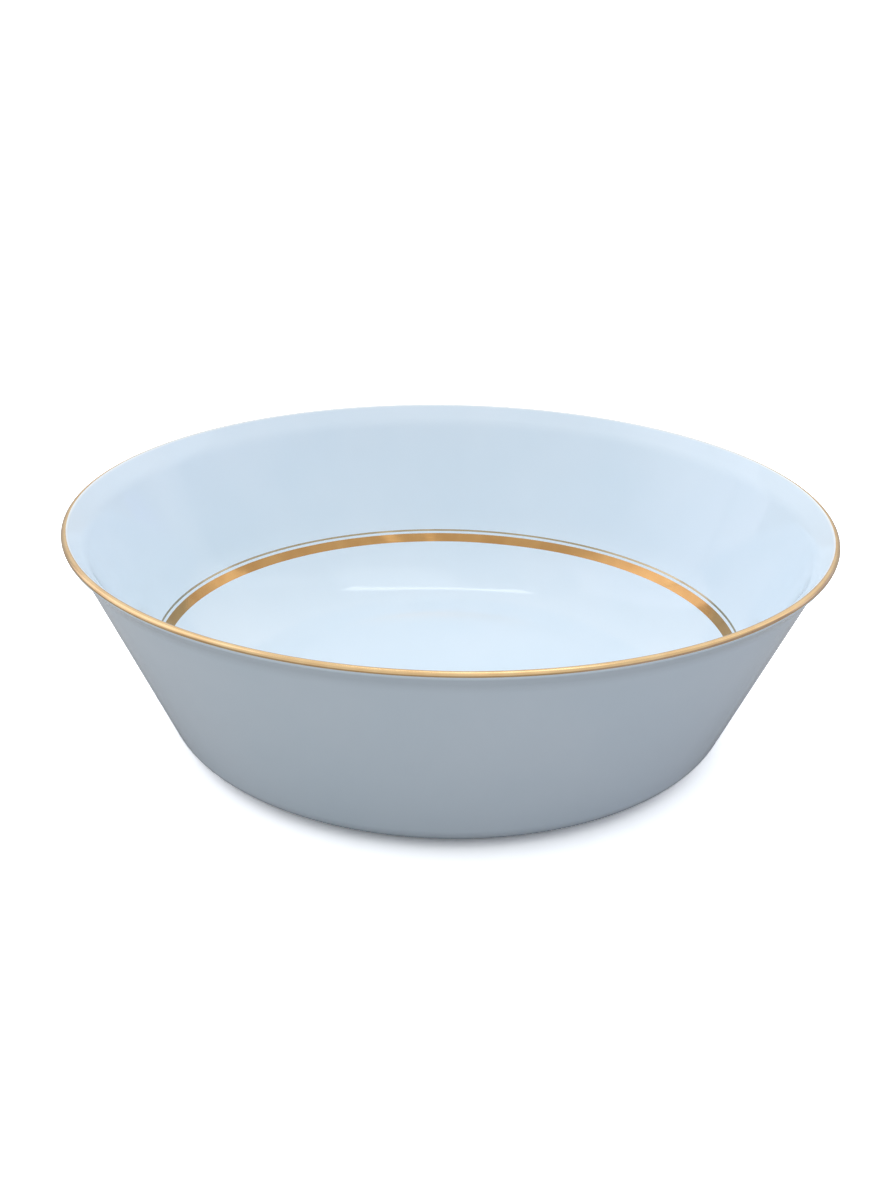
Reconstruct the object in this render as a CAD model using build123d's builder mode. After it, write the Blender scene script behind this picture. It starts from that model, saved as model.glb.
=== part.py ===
"""Round porcelain serving bowl with gilded lines, in millimetres.

The bowl stands on z = 0 with its axis on Z. Its glazed shape is one half section. The fired
porcelain, the glaze on it and the gilding let into the glaze all follow from that section.
"""

import os
from math import cos, radians, sin, sqrt, tan

from build123d import *

# Rim and lip
rim_diameter = 250.0
bowl_height = 74.0
lip_thickness = 2.6
flare_angle = 42.0  # of the lip, from the vertical
flare_bend_radius = 15.0

# Outside wall and heel
wall_angle = 24.0  # from the vertical
heel_diameter = 182.8  # where the line of the wall reaches the heel
heel_height = 1.5
heel_radius = 12.0

# Inside wall and floor
inner_wall_angle = 26.0  # the wall grows thicker towards the floor
well_diameter = 179.0  # where the line of the inner wall reaches the floor
well_radius = 47.0
floor_height = 10.0

# Foot ring, cut back from the heel, and the recess within it
foot_root_diameter = 165.0
foot_face_outer = 162.0
foot_face_inner = 153.0
recess_diameter = 149.0
recess_depth = 5.0
foot_root_radius = 0.8
foot_edge_radius = 0.9
recess_radius = 2.5

# Coats
glaze_thickness = 0.4
bare_face_inset = 0.8  # the glaze ends this far inside each edge of the foot's face
gilding_thickness = 0.2

# Gilded lines: the one on the lip, the wide one and the fine one in the well
lip_line_start = 6.0  # round the lip, from its widest point
lip_line_sweep = 108.0
lip_line_facets = 18
wide_line_width = 3.5
wide_line_angle = 50.5  # slope of the well where the line lies
fine_line_width = 0.7
fine_line_angle = 54.2


def crossing(low, low_angle, high, high_angle):
    """Point where two lines of the section meet, their angles taken from the vertical."""
    lean, other_lean = tan(radians(low_angle)), tan(radians(high_angle))
    z = (high[0] - low[0] + low[1] * lean - high[1] * other_lean) / (lean - other_lean)
    return (low[0] + (z - low[1]) * lean, z)


# The lip is a half circle across the ends of the two flare lines
lip_radius = lip_thickness / 2
lip_centre = Vector(rim_diameter / 2 - lip_radius, bowl_height - lip_radius)
across_lip = Vector(cos(radians(flare_angle)), -sin(radians(flare_angle))) * lip_radius
lip_outside, lip_inside = lip_centre + across_lip, lip_centre - across_lip

heel_corner = (heel_diameter / 2, heel_height)
well_corner = (well_diameter / 2, floor_height)
outer_bend = crossing(heel_corner, wall_angle, (lip_outside.X, lip_outside.Y), flare_angle)
inner_bend = crossing(well_corner, inner_wall_angle, (lip_inside.X, lip_inside.Y), flare_angle)

with BuildSketch() as glazed_section:
    with BuildLine():
        inside = FilletPolyline(
            (0, floor_height),
            well_corner,
            inner_bend,
            lip_inside,
            radius=[well_radius, flare_bend_radius],
        )
        TangentArc(inside @ 1, lip_outside, tangent=inside % 1)
        underside = FilletPolyline(
            lip_outside,
            outer_bend,
            heel_corner,
            (foot_root_diameter / 2, heel_height),
            (foot_face_outer / 2, 0),
            (foot_face_inner / 2, 0),
            (recess_diameter / 2, recess_depth),
            (0, recess_depth),
            radius=[
                flare_bend_radius,
                heel_radius,
                foot_root_radius,
                foot_edge_radius,
                foot_edge_radius,
                recess_radius,
            ],
        )
        Line(underside @ 1, inside @ 0)
    make_face()


def section_below(depth):
    """Half section of the bowl with its whole surface taken down by a depth."""
    with BuildSketch() as section:
        add(glazed_section.sketch)
        mirror(about=Plane.YZ)
        offset(amount=-depth)
        with Locations((-rim_diameter / 2, bowl_height / 2)):
            Rectangle(rim_diameter, 2 * bowl_height, mode=Mode.SUBTRACT)
    return section.sketch


# The fired porcelain shows only where the foot's face is wiped bare of glaze
with BuildSketch() as porcelain_section:
    add(section_below(glaze_thickness))
    with Locations(((foot_face_outer + foot_face_inner) / 4, 0)):
        Rectangle(
            (foot_face_outer - foot_face_inner) / 2 - 2 * bare_face_inset,
            2 * glaze_thickness,
            align=(Align.CENTER, Align.MIN),
        )


def lip_points(radius):
    """Points round the lip at a radius, one at each corner of the gilding's facets."""
    turns = [lip_line_sweep * step / lip_line_facets for step in range(lip_line_facets + 1)]
    angles = [radians(lip_line_start + turn) for turn in turns]
    return [lip_centre + Vector(cos(angle), sin(angle)) * radius for angle in angles]


# The gilding's sections are straight-sided: narrow facets round the lip, a flat in the well
with BuildSketch() as lip_line_section:
    with BuildLine():
        face, back = lip_points(lip_radius), lip_points(lip_radius - gilding_thickness)
        Polyline(*face, *reversed(back), close=True)
    make_face()

# The lines in the well lie on its bend, each at the point with its own slope
well_centre = Vector(
    well_corner[0] - well_radius * tan(radians(90 - inner_wall_angle) / 2),
    floor_height + well_radius,
)


def well_line_section(width, angle):
    """Section of a gilded line whose edges lie on the well's bend, where it slopes by angle."""
    depth = sqrt(well_radius**2 - (width / 2) ** 2)
    middle = well_centre + Vector(sin(radians(angle)), -cos(radians(angle))) * depth
    with BuildSketch() as section:
        with Locations((middle.X, middle.Y)):
            Rectangle(width, gilding_thickness, rotation=angle, align=(Align.CENTER, Align.MAX))
    return section.sketch


wide_line_section = well_line_section(wide_line_width, wide_line_angle)
fine_line_section = well_line_section(fine_line_width, fine_line_angle)

with BuildSketch() as glaze_section:
    add(glazed_section.sketch)
    add(porcelain_section.sketch, mode=Mode.SUBTRACT)
    add(lip_line_section.sketch, mode=Mode.SUBTRACT)
    add(wide_line_section, mode=Mode.SUBTRACT)
    add(fine_line_section, mode=Mode.SUBTRACT)

# The bare face of the foot parts the glaze into two coats. The slivers between the round lip
# and the facets of its gilding are left out.
recess_coat, main_coat = glaze_section.faces().sort_by(SortBy.AREA)[-2:]

with BuildPart() as porcelain_body:
    with BuildSketch(Plane.XZ):
        add(porcelain_section.sketch)
    revolve(axis=Axis.Z)

with BuildPart() as main_glaze:
    with BuildSketch(Plane.XZ):
        add(main_coat)
    revolve(axis=Axis.Z)

with BuildPart() as recess_glaze:
    with BuildSketch(Plane.XZ):
        add(recess_coat)
    revolve(axis=Axis.Z)

with BuildPart() as lip_gold_line:
    with BuildSketch(Plane.XZ):
        add(lip_line_section.sketch)
    revolve(axis=Axis.Z)

with BuildPart() as well_wide_gold_line:
    with BuildSketch(Plane.XZ):
        add(wide_line_section)
    revolve(axis=Axis.Z)

with BuildPart() as well_fine_gold_line:
    with BuildSketch(Plane.XZ):
        add(fine_line_section)
    revolve(axis=Axis.Z)

porcelain_body.part.label = "porcelain_body"
main_glaze.part.label = "main_glaze"
recess_glaze.part.label = "recess_glaze"
lip_gold_line.part.label = "lip_gold_line"
well_wide_gold_line.part.label = "well_wide_gold_line"
well_fine_gold_line.part.label = "well_fine_gold_line"

os.makedirs("parts", exist_ok=True)
export_step(porcelain_body.part, "parts/porcelain_body.step")
export_step(main_glaze.part, "parts/main_glaze.step")
export_step(recess_glaze.part, "parts/recess_glaze.step")
export_step(lip_gold_line.part, "parts/lip_gold_line.step")
export_step(well_wide_gold_line.part, "parts/well_wide_gold_line.step")
export_step(well_fine_gold_line.part, "parts/well_fine_gold_line.step")
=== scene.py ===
"""Round porcelain serving bowl with gilded lines: its finished pieces, materials and studio.

Every piece is a lathe form turned from one section, the outline of the glazed bowl. A piece is a
layer of that outline: a stretch of it, between two depths under the glazed surface.
"""

import logging
import math
from collections.abc import Callable
from dataclasses import dataclass
from enum import Enum
from functools import cached_property

import bmesh
import bpy
from mathutils import Matrix, Vector, noise


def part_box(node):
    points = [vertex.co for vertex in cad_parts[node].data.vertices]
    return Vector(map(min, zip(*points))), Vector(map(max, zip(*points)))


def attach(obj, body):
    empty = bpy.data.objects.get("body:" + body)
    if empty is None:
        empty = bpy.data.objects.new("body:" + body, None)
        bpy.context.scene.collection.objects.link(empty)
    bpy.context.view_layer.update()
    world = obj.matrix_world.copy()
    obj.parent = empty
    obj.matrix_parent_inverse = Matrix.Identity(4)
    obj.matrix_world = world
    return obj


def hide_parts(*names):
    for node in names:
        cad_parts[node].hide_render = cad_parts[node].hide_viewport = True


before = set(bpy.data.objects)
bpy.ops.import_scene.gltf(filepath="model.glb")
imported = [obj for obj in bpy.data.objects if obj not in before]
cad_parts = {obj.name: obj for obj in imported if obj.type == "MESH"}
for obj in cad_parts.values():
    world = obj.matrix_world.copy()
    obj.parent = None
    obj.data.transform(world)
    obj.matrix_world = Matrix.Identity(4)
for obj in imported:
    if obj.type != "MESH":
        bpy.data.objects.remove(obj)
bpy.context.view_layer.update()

MM = 0.001
STATION_GAP = 0.01 * MM
MERGE_REACH = 0.001 * MM
log = logging.getLogger("serving_bowl")

# Most of a noise pattern's values lie in this range
NOISE_RANGE = {"From Min": 0.3, "From Max": 0.7}
# A wave texture turns this many radians for each unit of its scaled coordinate
WAVE_TURN = 20.0
# The colour sockets of a mix node
FACTOR, FIRST, SECOND, MIXED = 0, 6, 7, 2


class Slot(Enum):
    """Material slots of the record."""

    BODY = "fired_porcelain"
    GLAZE = "porcelain_glaze"
    GOLD = "bright_gold"


class Span(Enum):
    """Stretches of the glazed outline, from the middle of the floor round to that of the base."""

    FLOOR = "floor"
    WELL = "well"
    INNER_WALL = "inner wall"
    INNER_BEND = "inner bend"
    INNER_FLARE = "inner flare"
    LIP = "lip"
    OUTER_FLARE = "outer flare"
    OUTER_BEND = "outer bend"
    OUTER_WALL = "outer wall"
    HEEL = "heel"
    HEEL_FLAT = "heel flat"
    FOOT_ROOT = "foot root"
    FOOT_OUTSIDE = "foot outside"
    FOOT_OUTER_EDGE = "foot outer edge"
    FOOT_FACE = "foot face"
    FOOT_INNER_EDGE = "foot inner edge"
    FOOT_INSIDE = "foot inside"
    RECESS_BEND = "recess bend"
    RECESS = "recess"


# ---------------------------------------------------------------- section


def angle_vector(degrees: float) -> Vector:
    """Return the section plane's unit vector at an angle above the radius."""
    return Vector((math.cos(math.radians(degrees)), math.sin(math.radians(degrees))))


def crossing(low: Vector, low_angle: float, high: Vector, high_angle: float) -> Vector:
    """Find where two lines of the section meet.

    Args:
        low: a point of the first line, as radius and height.
        low_angle: its angle from the vertical, in degrees.
        high: a point of the second line.
        high_angle: the second line's angle from the vertical.

    Returns:
        The meeting point, as radius and height.
    """
    lean, other_lean = math.tan(math.radians(low_angle)), math.tan(math.radians(high_angle))
    z = (high.x - low.x + low.y * lean - high.y * other_lean) / (lean - other_lean)
    return Vector((low.x + (z - low.y) * lean, z))


@dataclass(frozen=True)
class Straight:
    """A straight stretch of the outline."""

    start: Vector
    end: Vector

    @property
    def length(self) -> float:
        """Length of the stretch."""
        return (self.end - self.start).length

    def at(self, distance: float) -> tuple[Vector, Vector]:
        """Return the point and the outward normal at a distance along the stretch."""
        travel = (self.end - self.start).normalized()
        return self.start + travel * distance, Vector((-travel.y, travel.x))


@dataclass(frozen=True)
class Bend:
    """A round stretch of the outline. A positive sweep bends to the left of the travel."""

    centre: Vector
    radius: float
    first: float
    sweep: float

    @property
    def length(self) -> float:
        """Length of the stretch."""
        return abs(math.radians(self.sweep)) * self.radius

    def at(self, distance: float) -> tuple[Vector, Vector]:
        """Return the point and the outward normal at a distance along the stretch."""
        side = math.copysign(1.0, self.sweep)
        ray = angle_vector(self.first + side * math.degrees(distance / self.radius))
        return self.centre + ray * self.radius, ray * -side


def rounded(before: Vector, corner: Vector, after: Vector, radius: float) -> Bend:
    """Return the arc of a radius that rounds a corner of the outline.

    Args:
        before: the outline's point before the corner.
        corner: the sharp corner.
        after: the point after it.
        radius: radius of the arc.

    Returns:
        The arc, tangent to both sides of the corner.
    """
    travel, leave = (corner - before).normalized(), (after - corner).normalized()
    turn = math.atan2(travel.x * leave.y - travel.y * leave.x, travel.dot(leave))
    left = Vector((-travel.y, travel.x)) * math.copysign(1.0, turn)
    start = corner - travel * radius * math.tan(abs(turn) / 2)
    centre = start + left * radius
    out = start - centre
    return Bend(centre, radius, math.degrees(math.atan2(out.y, out.x)), math.degrees(turn))


@dataclass(frozen=True)
class Outline:
    """Half section of the glazed bowl, in metres and degrees, with its height and rim given."""

    rim_radius: float
    height: float
    lip_thickness: float = 2.6 * MM
    flare_angle: float = 42.0
    flare_bend_radius: float = 15 * MM
    wall_angle: float = 24.0
    heel_reach: float = 91.4 * MM
    heel_height: float = 1.5 * MM
    heel_radius: float = 12 * MM
    inner_wall_angle: float = 26.0
    well_reach: float = 89.5 * MM
    well_radius: float = 47 * MM
    floor_height: float = 10 * MM
    foot_root_reach: float = 82.5 * MM
    foot_face_outer: float = 81 * MM
    foot_face_inner: float = 76.5 * MM
    recess_reach: float = 74.5 * MM
    recess_depth: float = 5 * MM
    foot_root_radius: float = 0.8 * MM
    foot_edge_radius: float = 0.9 * MM
    recess_radius: float = 2.5 * MM

    @property
    def lip_radius(self) -> float:
        """Radius of the half round lip."""
        return self.lip_thickness / 2

    @cached_property
    def spans(self) -> dict[Span, Straight | Bend]:
        """Stretches of the outline, in order."""
        lip_centre = Vector((self.rim_radius - self.lip_radius, self.height - self.lip_radius))
        across = angle_vector(-self.flare_angle) * self.lip_radius
        heel = Vector((self.heel_reach, self.heel_height))
        well = Vector((self.well_reach, self.floor_height))
        outer = crossing(heel, self.wall_angle, lip_centre + across, self.flare_angle)
        inner = crossing(well, self.inner_wall_angle, lip_centre - across, self.flare_angle)
        inside = [Vector((0, self.floor_height)), well, inner, lip_centre - across]
        outside = [
            lip_centre + across,
            outer,
            heel,
            Vector((self.foot_root_reach, self.heel_height)),
            Vector((self.foot_face_outer, 0)),
            Vector((self.foot_face_inner, 0)),
            Vector((self.recess_reach, self.recess_depth)),
            Vector((0, self.recess_depth)),
        ]
        stretches = [
            *self._run(inside, [self.well_radius, self.flare_bend_radius]),
            Bend(lip_centre, self.lip_radius, 180 - self.flare_angle, -180),
            *self._run(
                outside,
                [
                    self.flare_bend_radius,
                    self.heel_radius,
                    self.foot_root_radius,
                    self.foot_edge_radius,
                    self.foot_edge_radius,
                    self.recess_radius,
                ],
            ),
        ]
        return dict(zip(Span, stretches, strict=True))

    @staticmethod
    def _run(corners: list[Vector], radii: list[float]) -> list[Straight | Bend]:
        """Lay straights and bends through corners.

        Args:
            corners: the corners, as radius and height.
            radii: the radius that rounds each corner between the two ends.

        Returns:
            The straights, and the bends between them.
        """
        stretches: list[Straight | Bend] = []
        start = corners[0]
        for before, corner, after, radius in zip(corners, corners[1:], corners[2:], radii):
            bend = rounded(before, corner, after, radius)
            stretches += [Straight(start, bend.at(0)[0]), bend]
            start = bend.at(bend.length)[0]
        return [*stretches, Straight(start, corners[-1])]

    def start_of(self, span: Span) -> float:
        """Return the station, the distance along the outline, where a span starts."""
        order = list(Span)
        return sum(self.spans[earlier].length for earlier in order[: order.index(span)])

    @cached_property
    def length(self) -> float:
        """Length of the whole outline."""
        return sum(stretch.length for stretch in self.spans.values())

    def at(self, station: float, depth: float = 0.0) -> Vector:
        """Find a point of the outline, or one below it.

        Args:
            station: the distance along the outline.
            depth: how far the point is taken below the glazed surface.

        Returns:
            The point, as radius and height.
        """
        left = station
        for stretch in self.spans.values():
            if left <= stretch.length:
                break
            left -= stretch.length
        point, normal = stretch.at(min(left, stretch.length))
        return point - normal * depth

    def stations(self, start: float, end: float, pitch: float, turn: float) -> list[float]:
        """List the stations that draw a stretch of the outline.

        Args:
            start: first station.
            end: last station.
            pitch: longest step along a straight.
            turn: widest step round a bend, in degrees.

        Returns:
            The stations from start to end.
        """
        found = [start]
        base = 0.0
        for stretch in self.spans.values():
            is_bend = isinstance(stretch, Bend)
            count = math.ceil(abs(stretch.sweep) / turn if is_bend else stretch.length / pitch)
            marks = [base + stretch.length * step / count for step in range(1, count + 1)]
            found += [mark for mark in marks if start + STATION_GAP < mark < end - STATION_GAP]
            base += stretch.length
        return [*found, end]


# ---------------------------------------------------------------- lathe work


@dataclass(frozen=True)
class Mark:
    """A corner of a section: a station of the outline, and a depth under it."""

    station: float
    depth: float = 0.0


@dataclass(frozen=True)
class Turning:
    """Turns closed sections of the bowl into meshes."""

    outline: Outline
    steps: int = 360
    wedges: int = 12
    crease: float = 38.0

    def turn(
        self, name: str, section: list[Mark], drift: Callable[[float, float], float] | None = None
    ) -> bpy.types.Object:
        """Spin a section about the bowl's axis.

        Args:
            name: name of the new object.
            section: corners of the section. A section that starts and ends on the axis makes a
                solid, and any other is closed and makes a ring.
            drift: how far a corner at a station moves along the outline, at an angle round the
                bowl. None leaves the form true.

        Returns:
            The object, at the origin.
        """
        form = bmesh.new()
        station_of = form.verts.layers.float.new("station")
        depth_of = form.verts.layers.float.new("depth")
        verts = []
        for mark in section:
            point = self.outline.at(mark.station, mark.depth)
            vert = form.verts.new((point.x, 0, point.y))
            vert[station_of], vert[depth_of] = mark.station, mark.depth
            verts.append(vert)
        pairs = list(zip(verts, verts[1:]))
        if min(vert.co.x for vert in verts) > STATION_GAP:
            pairs.append((verts[-1], verts[0]))
        edges = [form.edges.new(pair) for pair in pairs]
        wedge = math.tau / self.wedges
        about = {"cent": (0, 0, 0), "axis": (0, 0, 1)}
        steps = self.steps // self.wedges
        bmesh.ops.spin(form, geom=verts + edges, angle=wedge, steps=steps, **about)
        bmesh.ops.spin(
            form,
            geom=[*form.verts, *form.edges, *form.faces],
            angle=math.tau - wedge,
            steps=self.wedges - 1,
            use_duplicate=True,
            **about,
        )
        bmesh.ops.remove_doubles(form, verts=form.verts, dist=MERGE_REACH)
        if drift:
            for vert in form.verts:
                around = math.atan2(vert.co.y, vert.co.x)
                station = vert[station_of] + drift(around, vert[station_of])
                point = self.outline.at(station, vert[depth_of])
                vert.co = (point.x * math.cos(around), point.x * math.sin(around), point.y)
        bmesh.ops.recalc_face_normals(form, faces=form.faces)
        for face in form.faces:
            face.smooth = True
        for edge in form.edges:
            edge.smooth = edge.calc_face_angle(0) < math.radians(self.crease)
        form.verts.layers.float.remove(station_of)
        form.verts.layers.float.remove(form.verts.layers.float["depth"])
        mesh = bpy.data.meshes.new(name)
        form.to_mesh(mesh)
        form.free()
        piece = bpy.data.objects.new(name, mesh)
        bpy.context.scene.collection.objects.link(piece)
        return piece


def settle(piece: bpy.types.Object, node_name: str, finish: bpy.types.Material) -> None:
    """Dress a finished piece and let it stand for its CAD node.

    Args:
        piece: the finished piece.
        node_name: the CAD node that it replaces.
        finish: its material.
    """
    piece.data.materials.append(finish)
    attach(piece, "root")
    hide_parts(node_name)
    log.info("%s: %d faces", piece.name, len(piece.data.polygons))


# ---------------------------------------------------------------- finishes


def linear(hex_colour: str) -> tuple[float, float, float, float]:
    """Turn an sRGB hex colour into linear light.

    Args:
        hex_colour: the colour, such as "#e8eef2".

    Returns:
        Its red, green and blue light, and full alpha.
    """
    shares = [int(hex_colour[place : place + 2], 16) / 255 for place in (1, 3, 5)]
    light = [s / 12.92 if s <= 0.04045 else ((s + 0.055) / 1.055) ** 2.4 for s in shares]
    return (*light, 1.0)


def feed(tree: bpy.types.NodeTree, node: bpy.types.Node, inputs: dict[int | str, object]) -> None:
    """Set or link a node's inputs.

    Args:
        tree: the node tree.
        node: the node.
        inputs: socket name or number to a value, or to the output socket that feeds it.
    """
    for key, value in inputs.items():
        if isinstance(value, bpy.types.NodeSocket):
            tree.links.new(value, node.inputs[key])
        else:
            node.inputs[key].default_value = value


def add(
    tree: bpy.types.NodeTree, kind: str, inputs: dict[int | str, object] | None = None, **settings: object
) -> bpy.types.Node:
    """Add a node with its settings, input values and links.

    Args:
        tree: the node tree.
        kind: the node's type name.
        inputs: socket name or number to a value, or to the output socket that feeds it.
        **settings: attributes of the node.

    Returns:
        The new node.
    """
    made = tree.nodes.new(kind)
    for key, value in settings.items():
        setattr(made, key, value)
    feed(tree, made, inputs or {})
    return made


@dataclass(frozen=True)
class Finish:
    """A finish. Its subclasses say what goes into the shader."""

    name: str

    def material(self) -> bpy.types.Material:
        """Build the material.

        Returns:
            The material, with its shader set and linked.
        """
        made = bpy.data.materials.new(self.name)
        made.use_nodes = True
        tree = made.node_tree
        place = add(tree, "ShaderNodeTexCoord").outputs["Object"]
        feed(tree, tree.nodes["Principled BSDF"], self.inputs(tree, place))
        return made

    def inputs(self, tree: bpy.types.NodeTree, place: bpy.types.NodeSocket) -> dict[str, object]:
        """Make the patterns and values that go into the shader.

        Args:
            tree: the material's node tree.
            place: the Object coordinates, in metres.

        Returns:
            Each of the shader's socket names that the finish sets, with its value or source.
        """
        raise NotImplementedError


@dataclass(frozen=True)
class GlazedPorcelain(Finish):
    """Hard porcelain under a clear glaze: a cool, faintly blue white with a wet gloss.

    The glaze runs thin over the lip and looks whiter there, and that whiter colour is in part a
    painted highlight. Slow waves in it bend reflections a little, over the fine rings that the
    turning tool left in the body.
    """

    name: str = "Glazed porcelain, fired gloss"
    thick: str = "#dcecf8"
    thin: str = "#e1effa"
    # Colour of the lip's top: thinner glaze, and in part a painted highlight
    lip: str = "#ecf2f5"
    lip_glaze_and_highlight_zone: tuple[float, float] = (73.5 * MM, 74.0 * MM)
    roughness: tuple[float, float] = (0.05, 0.09)
    cloud: float = 45 * MM
    wave: float = 16 * MM
    wave_height: float = 0.02 * MM
    ring: float = 2.4 * MM
    ring_waver: float = 1.5
    ring_height: float = 0.0015 * MM
    peel: float = 1.4 * MM
    peel_height: float = 0.001 * MM

    def inputs(self, tree: bpy.types.NodeTree, place: bpy.types.NodeSocket) -> dict[str, object]:
        """Make the patterns and values that go into the shader.

        Args:
            tree: the material's node tree.
            place: the Object coordinates, in metres.

        Returns:
            Each of the shader's socket names that the finish sets, with its value or source.
        """
        cloud, wave, peel = (
            add(tree, "ShaderNodeTexNoise", {"Vector": place, "Scale": 1 / size}).outputs["Fac"]
            for size in (self.cloud, self.wave, self.peel)
        )
        ring = add(
            tree,
            "ShaderNodeTexWave",
            {
                "Vector": place,
                "Scale": math.tau / WAVE_TURN / self.ring,
                "Distortion": self.ring_waver,
                "Detail": 1.0,
            },
            wave_type="RINGS",
            rings_direction="Z",
        ).outputs["Fac"]
        share = add(tree, "ShaderNodeMapRange", {"Value": cloud, **NOISE_RANGE}).outputs[0]
        tones = {FACTOR: share, FIRST: linear(self.thick), SECOND: linear(self.thin)}
        body = add(tree, "ShaderNodeMix", tones, data_type="RGBA").outputs[MIXED]
        height = add(tree, "ShaderNodeSeparateXYZ", {0: place}).outputs["Z"]
        # Whiten the top half-millimetre of the lip: thinner glaze, and in part a painted highlight
        low, high = self.lip_glaze_and_highlight_zone
        zone = {"Value": height, "From Min": low, "From Max": high}
        on_lip_glaze_and_highlight = add(tree, "ShaderNodeMapRange", zone).outputs[0]
        tones = {FACTOR: on_lip_glaze_and_highlight, FIRST: body, SECOND: linear(self.lip)}
        colour = add(tree, "ShaderNodeMix", tones, data_type="RGBA").outputs[MIXED]
        smooth, rough = self.roughness
        gloss = {"Value": peel, **NOISE_RANGE, "To Min": smooth, "To Max": rough}
        roughness = add(tree, "ShaderNodeMapRange", gloss).outputs[0]
        slow = add(tree, "ShaderNodeBump", {"Height": wave, "Distance": self.wave_height}).outputs[0]
        turned = {"Height": ring, "Distance": self.ring_height, "Normal": slow}
        fine = {
            "Height": peel,
            "Distance": self.peel_height,
            "Normal": add(tree, "ShaderNodeBump", turned).outputs[0],
        }
        relief = add(tree, "ShaderNodeBump", fine).outputs[0]
        return {"Base Color": colour, "Roughness": roughness, "Normal": relief}


@dataclass(frozen=True)
class FiredPorcelain(Finish):
    """Bare high-fired porcelain: dense, warm white and matt, faintly greyed where it stands."""

    name: str = "Bare porcelain, fired"
    body: str = "#e9e5dc"
    scuff: str = "#d1cbc1"
    scuff_size: float = 3 * MM
    scuff_range: tuple[float, float] = (0.56, 0.74)
    roughness: tuple[float, float] = (0.5, 0.72)
    grit: float = 0.25 * MM
    grit_height: float = 0.02 * MM

    def inputs(self, tree: bpy.types.NodeTree, place: bpy.types.NodeSocket) -> dict[str, object]:
        """Make the patterns and values that go into the shader.

        Args:
            tree: the material's node tree.
            place: the Object coordinates, in metres.

        Returns:
            Each of the shader's socket names that the finish sets, with its value or source.
        """
        grit, scuff = (
            add(tree, "ShaderNodeTexNoise", {"Vector": place, "Scale": 1 / size}).outputs["Fac"]
            for size in (self.grit, self.scuff_size)
        )
        low, high = self.scuff_range
        marked = {"Value": scuff, "From Min": low, "From Max": high}
        share = add(tree, "ShaderNodeMapRange", marked).outputs[0]
        tones = {FACTOR: share, FIRST: linear(self.body), SECOND: linear(self.scuff)}
        colour = add(tree, "ShaderNodeMix", tones, data_type="RGBA").outputs[MIXED]
        smooth, rough = self.roughness
        matt = {"Value": grit, **NOISE_RANGE, "To Min": smooth, "To Max": rough}
        roughness = add(tree, "ShaderNodeMapRange", matt).outputs[0]
        grain = add(tree, "ShaderNodeBump", {"Height": grit, "Distance": self.grit_height}).outputs[0]
        return {"Base Color": colour, "Roughness": roughness, "Normal": grain}


@dataclass(frozen=True)
class BrightGold(Finish):
    """Liquid bright gold, brushed on the turning bowl and fired: a warm mirror, faintly streaked.

    The streaks run round the bowl, because the brush stands still and the bowl turns.
    """

    name: str = "Bright gold, brushed and fired"
    rich: str = "#c69d67"
    lean: str = "#bb905c"
    cloud: float = 9 * MM
    roughness: tuple[float, float] = (0.07, 0.16)
    streak_length: float = 14 * MM
    streak_width: float = 0.22 * MM
    streak_height: float = 0.0012 * MM
    brushed: float = 0.25

    def inputs(self, tree: bpy.types.NodeTree, place: bpy.types.NodeSocket) -> dict[str, object]:
        """Make the patterns and values that go into the shader.

        Args:
            tree: the material's node tree.
            place: the Object coordinates, in metres.

        Returns:
            Each of the shader's socket names that the finish sets, with its value or source.
        """
        cells = [1 / size for size in (self.streak_length, self.streak_length, self.streak_width)]
        drawn = add(tree, "ShaderNodeMapping", {"Vector": place, "Scale": cells}).outputs[0]
        streak = add(tree, "ShaderNodeTexNoise", {"Vector": drawn, "Scale": 1.0}).outputs["Fac"]
        cloud = add(tree, "ShaderNodeTexNoise", {"Vector": place, "Scale": 1 / self.cloud}).outputs["Fac"]
        share = add(tree, "ShaderNodeMapRange", {"Value": cloud, **NOISE_RANGE}).outputs[0]
        tones = {FACTOR: share, FIRST: linear(self.rich), SECOND: linear(self.lean)}
        colour = add(tree, "ShaderNodeMix", tones, data_type="RGBA").outputs[MIXED]
        smooth, rough = self.roughness
        gloss = {"Value": streak, **NOISE_RANGE, "To Min": smooth, "To Max": rough}
        roughness = add(tree, "ShaderNodeMapRange", gloss).outputs[0]
        marks = add(tree, "ShaderNodeBump", {"Height": streak, "Distance": self.streak_height}).outputs[0]
        return {
            "Base Color": colour,
            "Roughness": roughness,
            "Normal": marks,
            "Metallic": 1.0,
            "Anisotropic": self.brushed,
        }


# The lip's gold is paler than the well's: in part a painted highlight, the pale shine along the lip
LIP_GOLD = BrightGold(name="Bright gold, pale on the lip with painted highlight", rich="#e4c698", lean="#dab686")
FINE_GOLD = BrightGold(name="Bright gold, thin and dull", rich="#b5a98f", lean="#a99c80")


# ---------------------------------------------------------------- the bowl's pieces


@dataclass
class FiredBody:
    """The porcelain itself, which shows only on the wiped face of the foot."""

    outline: Outline
    glaze: float = 0.4 * MM
    bare_inset: float = 0.8 * MM
    pitch: float = 12 * MM
    turn: float = 6.0

    @property
    def bare(self) -> tuple[float, float]:
        """Stations where the bare face of the foot starts and ends."""
        face = Span.FOOT_FACE
        start = self.outline.start_of(face)
        middle = start + self.outline.spans[face].length / 2
        reach = (self.outline.foot_face_outer - self.outline.foot_face_inner) / 2 - self.bare_inset
        return middle - reach, middle + reach

    def build(self) -> bpy.types.Object:
        """Turn the body.

        Returns:
            The fired body, at the origin.
        """
        outline, (bare_start, bare_end) = self.outline, self.bare
        inside = outline.stations(0, bare_start, self.pitch, self.turn)
        under = outline.stations(bare_end, outline.length, self.pitch, self.turn)
        section = [
            *(Mark(station, self.glaze) for station in inside),
            Mark(bare_start),
            Mark(bare_end),
            *(Mark(station, self.glaze) for station in under),
        ]
        return Turning(outline).turn("fired_body", section)


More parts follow.
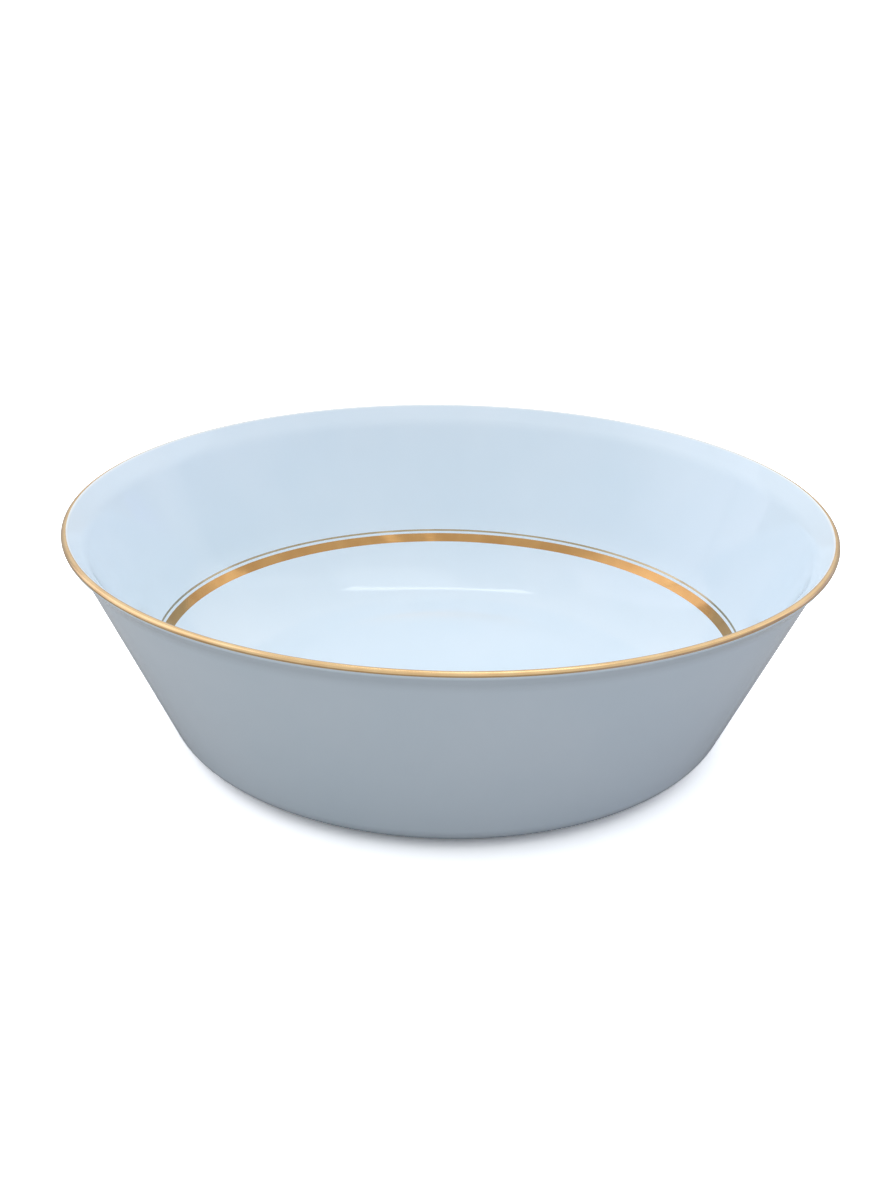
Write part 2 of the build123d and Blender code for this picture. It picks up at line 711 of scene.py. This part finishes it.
@dataclass
class GlazeCoat:
    """One coat of glaze, between two stations of the outline.

    Its surface lies a hair below the outline, so that the gilding stands proud of it inside the
    bowl's true size. Where it was wiped from the foot it ends in a rounded edge.
    """

    outline: Outline
    name: str
    start: float
    end: float
    sunk: float = 0.02 * MM
    thickness: float = 0.4 * MM
    edge_run: float = 0.45 * MM
    edge_steps: int = 6
    pitch: float = 12 * MM
    turn: float = 3.0
    back_turn: float = 8.0

    def build(self) -> bpy.types.Object:
        """Turn the coat.

        Returns:
            The coat, at the origin.
        """
        outline = self.outline
        front = outline.stations(self.start, self.end, self.pitch, self.turn)
        back = outline.stations(self.start, self.end, self.pitch, self.back_turn)
        marks = sorted({*front, *self._edge_stations()})
        section = [
            *(Mark(station, self._depth(station)) for station in marks),
            *(Mark(station, self.thickness) for station in reversed(back)),
        ]
        return Turning(outline).turn(self.name, section)

    def _edge_stations(self) -> list[float]:
        """List the stations that draw the rounded edge beside the bare face.

        Returns:
            The stations, from the bare face inwards.
        """
        steps = [self.edge_run * step / self.edge_steps for step in range(1, self.edge_steps + 1)]
        if self.start > 0:
            return [self.start + step for step in steps]
        return [self.end - step for step in steps]

    def _depth(self, station: float) -> float:
        """Find how deep the coat's surface lies.

        Args:
            station: the distance along the outline.

        Returns:
            How far the surface lies below the outline there.
        """
        inwards = station - self.start if self.start > 0 else self.end - station
        if inwards >= self.edge_run:
            return self.sunk
        share = 1 - inwards / self.edge_run
        return self.sunk + (self.thickness / 2 - self.sunk) * (1 - math.sqrt(1 - share**2))


@dataclass
class GoldLine:
    """A gilded line round the bowl, whose edges waver as a hand-held brush does.

    A line on the lip also leans: the brush ran lower down the outside at the back of the bowl.
    """

    outline: Outline
    name: str
    middle: float
    width: float
    waver: float
    seed: float
    lean: float = 0.0
    depth: float = 0.08 * MM
    waves_round: float = 5.0
    across: int = 6
    steps: int = 720
    crease: float = 60.0

    def build(self) -> bpy.types.Object:
        """Turn the line, letting its edges waver.

        Returns:
            The line, at the origin.
        """
        start = self.middle - self.width / 2
        stations = [start + self.width * step / self.across for step in range(self.across + 1)]
        section = [
            *(Mark(station) for station in stations),
            *(Mark(station, self.depth) for station in reversed(stations)),
        ]
        lathe = Turning(self.outline, self.steps, crease=self.crease)
        return lathe.turn(self.name, section, self._drift)

    def _drift(self, around: float, station: float) -> float:
        """Return how far a corner moves along the outline.

        Args:
            around: angle round the bowl, from +X.
            station: where the corner lies along the outline.

        Returns:
            The move, smooth round the bowl and least at the middle of the line.
        """
        side = (station - self.middle) / self.width
        ring = Vector((math.cos(around), math.sin(around), 0)) * self.waves_round
        wave = noise.noise(ring + Vector((0, 0, self.seed + side)))
        return self.waver * side * wave + self.lean * (1 + math.sin(around)) / 2


@dataclass
class Bowl:
    """The whole bowl: fired body, two coats of glaze and three gilded lines."""

    outline: Outline
    lip_line: tuple[float, float] = (6.0, 114.0)
    lip_line_lean: float = 0.6 * MM
    lip_line_across: int = 16
    wide_line_angle: float = 50.5
    wide_line_width: float = 3.5 * MM
    fine_line_angle: float = 54.2
    fine_line_width: float = 0.7 * MM

    def build(self) -> None:
        """Build and dress every piece."""
        glazed, fired = GlazedPorcelain().material(), FiredPorcelain().material()
        body = FiredBody(self.outline)
        bare_start, bare_end = body.bare
        settle(body.build(), "porcelain_body", fired)
        main = GlazeCoat(self.outline, "main_glaze_coat", 0.0, bare_start)
        settle(main.build(), "main_glaze", glazed)
        recess = GlazeCoat(self.outline, "recess_glaze_coat", bare_end, self.outline.length)
        settle(recess.build(), "recess_glaze", glazed)
        settle(self._lip_line().build(), "lip_gold_line", LIP_GOLD.material())
        settle(self._wide_line().build(), "well_wide_gold_line", BrightGold().material())
        settle(self._fine_line().build(), "well_fine_gold_line", FINE_GOLD.material())

    def _lip_line(self) -> GoldLine:
        """Lay out the line on the lip.

        Returns:
            The line, not yet turned.
        """
        outline, lip = self.outline, self.outline.start_of(Span.LIP)
        low, high = (
            lip + math.radians(180 - outline.flare_angle - angle) * outline.lip_radius
            for angle in self.lip_line
        )
        return GoldLine(
            outline,
            "lip_gilding",
            middle=(low + high) / 2,
            width=low - high,
            waver=0.1 * MM,
            seed=1.0,
            lean=self.lip_line_lean,
            across=self.lip_line_across,
        )

    def _well_line(self, name: str, angle: float, width: float, waver: float, seed: float) -> GoldLine:
        """Return a line in the well, where it slopes by an angle."""
        middle = self.outline.start_of(Span.WELL) + math.radians(angle) * self.outline.well_radius
        return GoldLine(self.outline, name, middle, width, waver, seed)

    def _wide_line(self) -> GoldLine:
        """Return the wide line in the well."""
        return self._well_line("wide_gilding", self.wide_line_angle, self.wide_line_width, 0.12 * MM, 2.0)

    def _fine_line(self) -> GoldLine:
        """Return the fine line above it."""
        return self._well_line("fine_gilding", self.fine_line_angle, self.fine_line_width, 0.1 * MM, 3.0)


# ---------------------------------------------------------------- studio


@dataclass(frozen=True)
class SoftBox:
    """A large soft light far from the bowl.

    Azimuth is clockwise from +Y, away from the camera, and width and height are the half angles
    that it covers, all in degrees. Its left end may fade in over an angle.
    """

    azimuth: float
    elevation: float
    half_width: float
    half_height: float
    glow: float
    tint: str = "#ffffff"
    edge: float = 2.0
    fade: float = 0.0


LIGHTS = (
    # overhead
    SoftBox(azimuth=0, elevation=90, half_width=190, half_height=25, glow=0.22, edge=2.5),
    # high at the right, for the shine along the front of the lip
    SoftBox(azimuth=42, elevation=75, half_width=45, half_height=10, glow=0.7, edge=4),
    # backdrop, and the flats at its right and left
    SoftBox(azimuth=5, elevation=20, half_width=54, half_height=42, glow=0.22, edge=1.2),
    SoftBox(azimuth=65.5, elevation=20, half_width=6.5, half_height=42, glow=0.45, edge=0.8),
    SoftBox(azimuth=-57.5, elevation=20, half_width=8, half_height=42, glow=0.8, tint="#fbf5ff", edge=0.5),
    SoftBox(
        azimuth=-92,
        elevation=20,
        half_width=25.4,
        half_height=42,
        glow=0.8,
        tint="#fbf5ff",
        edge=0.5,
        fade=45,
    ),
    # strip light high at the back
    SoftBox(azimuth=6, elevation=64.5, half_width=29, half_height=1.5, glow=3.2, edge=1),
    # small lights behind the camera
    SoftBox(azimuth=146, elevation=54, half_width=3.5, half_height=6, glow=0.45, edge=1),
    SoftBox(azimuth=168, elevation=56, half_width=2, half_height=7, glow=0.45, edge=1),
    # low and cool, at the right
    SoftBox(azimuth=95, elevation=3, half_width=50, half_height=7, glow=0.4, tint="#7070ff"),
)


@dataclass
class Studio:
    """A white sweep lit by soft boxes, and the camera."""

    boxes: tuple[SoftBox, ...]
    surround: tuple[float, float] = (0.4, 0.9)
    surround_rise: tuple[float, float] = (8.0, 32.0)
    floor_exposure: float = 2.1
    floor_bounce: float = 0.45
    floor_reach: float = 30.0
    camera_distance: float = 0.515
    camera_tilt: float = 0.40471
    aim_height: float = 0.040
    camera_yaw: float = 0.00092
    camera_pitch: float = 0.00181
    camera_roll: float = -0.01924
    lens: float = 45.779
    clip: tuple[float, float] = (0.01, 200.0)

    def build(self) -> None:
        """Make the floor, the light and the camera."""
        self._floor()
        self._world()
        self._camera()
        bpy.context.scene.view_settings.view_transform = "Standard"

    def _floor(self) -> None:
        """Lay the floor: overexposed to the eye, yet giving back less light to the bowl."""
        form = bmesh.new()
        bmesh.ops.create_grid(form, x_segments=1, y_segments=1, size=self.floor_reach)
        mesh = bpy.data.meshes.new("floor")
        form.to_mesh(mesh)
        form.free()
        floor = bpy.data.objects.new("floor", mesh)
        bpy.context.scene.collection.objects.link(floor)
        paper = bpy.data.materials.new("White backdrop paper")
        paper.use_nodes = True
        tree = paper.node_tree
        tree.nodes.clear()
        seen = add(tree, "ShaderNodeLightPath").outputs["Is Camera Ray"]
        levels = {"Value": seen, "To Min": self.floor_bounce, "To Max": self.floor_exposure}
        tone = add(tree, "ShaderNodeMapRange", levels).outputs["Result"]
        matt = add(tree, "ShaderNodeBsdfDiffuse", {"Color": tone})
        add(tree, "ShaderNodeOutputMaterial", {"Surface": matt.outputs[0]})
        mesh.materials.append(paper)

    def _world(self) -> None:
        """Light the set: soft boxes in an even surround, with plain white behind the bowl."""
        world = bpy.data.worlds.new("Studio")
        bpy.context.scene.world = world
        world.use_nodes = True
        tree = world.node_tree
        tree.nodes.clear()
        ray = add(tree, "ShaderNodeTexCoord").outputs["Generated"]
        rise = add(tree, "ShaderNodeSeparateXYZ", {0: ray}).outputs["Z"]
        dusk, dome = self.surround
        levels = {
            "Value": rise,
            "From Min": math.sin(math.radians(self.surround_rise[0])),
            "From Max": math.sin(math.radians(self.surround_rise[1])),
            "To Min": dusk,
            "To Max": dome,
        }
        light = add(tree, "ShaderNodeMapRange", levels, interpolation_type="SMOOTHSTEP").outputs["Result"]
        for box in self.boxes:
            light = self._with_box(tree, ray, light, box)
        lit = add(tree, "ShaderNodeBackground", {"Color": light})
        white = add(tree, "ShaderNodeBackground", {"Color": (1, 1, 1, 1)})
        seen = add(tree, "ShaderNodeLightPath").outputs["Is Camera Ray"]
        both = add(tree, "ShaderNodeMixShader", {0: seen, 1: lit.outputs[0], 2: white.outputs[0]})
        add(tree, "ShaderNodeOutputWorld", {"Surface": both.outputs[0]})

    @staticmethod
    def _with_box(
        tree: bpy.types.NodeTree, ray: bpy.types.NodeSocket, light: bpy.types.NodeSocket, box: SoftBox
    ) -> bpy.types.NodeSocket:
        """Add a soft box's glow to the light from a direction.

        Args:
            tree: the world's node tree.
            ray: the direction looked in.
            light: the light so far.
            box: the soft box.

        Returns:
            The light with the box's glow.
        """
        azimuth = math.radians(box.azimuth)
        level = Vector((math.sin(azimuth), math.cos(azimuth), 0))
        across = Vector((level.y, -level.x, 0))
        ahead, aside = (
            add(tree, "ShaderNodeVectorMath", {0: ray, 1: axis}, operation="DOT_PRODUCT").outputs["Value"]
            for axis in (level, across)
        )
        rise = add(tree, "ShaderNodeSeparateXYZ", {0: ray}).outputs["Z"]
        turned = add(tree, "ShaderNodeMath", {0: aside, 1: ahead}, operation="ARCTAN2").outputs[0]
        raised = add(tree, "ShaderNodeMath", {0: rise}, operation="ARCSINE").outputs[0]
        above = add(
            tree, "ShaderNodeMath", {0: raised, 1: math.radians(box.elevation)}, operation="SUBTRACT"
        ).outputs[0]
        size = add(tree, "ShaderNodeMath", {0: above}, operation="ABSOLUTE").outputs[0]
        left, right, high = -box.half_width, box.half_width, box.half_height
        ramps = (
            (turned, left - box.edge, left + box.edge + box.fade),
            (turned, right + box.edge, right - box.edge),
            (size, high + box.edge, high - box.edge),
        )
        masks = []
        for angle, dark, full in ramps:
            limits = {"Value": angle, "From Min": math.radians(dark), "From Max": math.radians(full)}
            ramp = add(tree, "ShaderNodeMapRange", limits, interpolation_type="SMOOTHSTEP")
            masks.append(ramp.outputs["Result"])
        for mask in masks[1:]:
            masks[0] = add(tree, "ShaderNodeMath", {0: masks[0], 1: mask}, operation="MULTIPLY").outputs[0]
        glow = Vector(linear(box.tint)[:3]) * box.glow
        spread = add(tree, "ShaderNodeVectorMath", {0: glow, "Scale": masks[0]}, operation="SCALE").outputs[0]
        return add(tree, "ShaderNodeVectorMath", {0: light, 1: spread}, operation="ADD").outputs[0]

    def _camera(self) -> None:
        """Place the camera at the front, looking down into the bowl."""
        tilt = self.camera_tilt
        away = Vector((0, math.cos(tilt), -math.sin(tilt)))
        right = Vector((1, 0, 0))
        above = right.cross(away)
        yaw = Matrix.Rotation(self.camera_yaw, 3, above)
        away, right = yaw @ away, yaw @ right
        pitch = Matrix.Rotation(self.camera_pitch, 3, right)
        away, above = pitch @ away, pitch @ above
        roll = Matrix.Rotation(self.camera_roll, 3, away)
        right, above = roll @ right, roll @ above
        eye = bpy.data.cameras.new("camera")
        eye.lens = self.lens
        eye.clip_start, eye.clip_end = self.clip
        camera = bpy.data.objects.new("camera", eye)
        bpy.context.scene.collection.objects.link(camera)
        turn = Matrix((right, above, -away)).transposed()
        back = Vector((0, -math.cos(tilt), math.sin(tilt))) * self.camera_distance
        camera.matrix_world = Matrix.Translation(back + Vector((0, 0, self.aim_height))) @ turn.to_4x4()
        bpy.context.scene.camera = camera


def main() -> None:
    """Build the bowl and its studio."""
    logging.basicConfig(level=logging.INFO)
    low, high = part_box("main_glaze")
    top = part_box("lip_gold_line")[1].z
    outline = Outline(rim_radius=min(high.x, high.y, -low.x, -low.y), height=top)
    Bowl(outline).build()
    Studio(LIGHTS).build()
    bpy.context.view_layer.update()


if __name__ == "__main__":
    main()
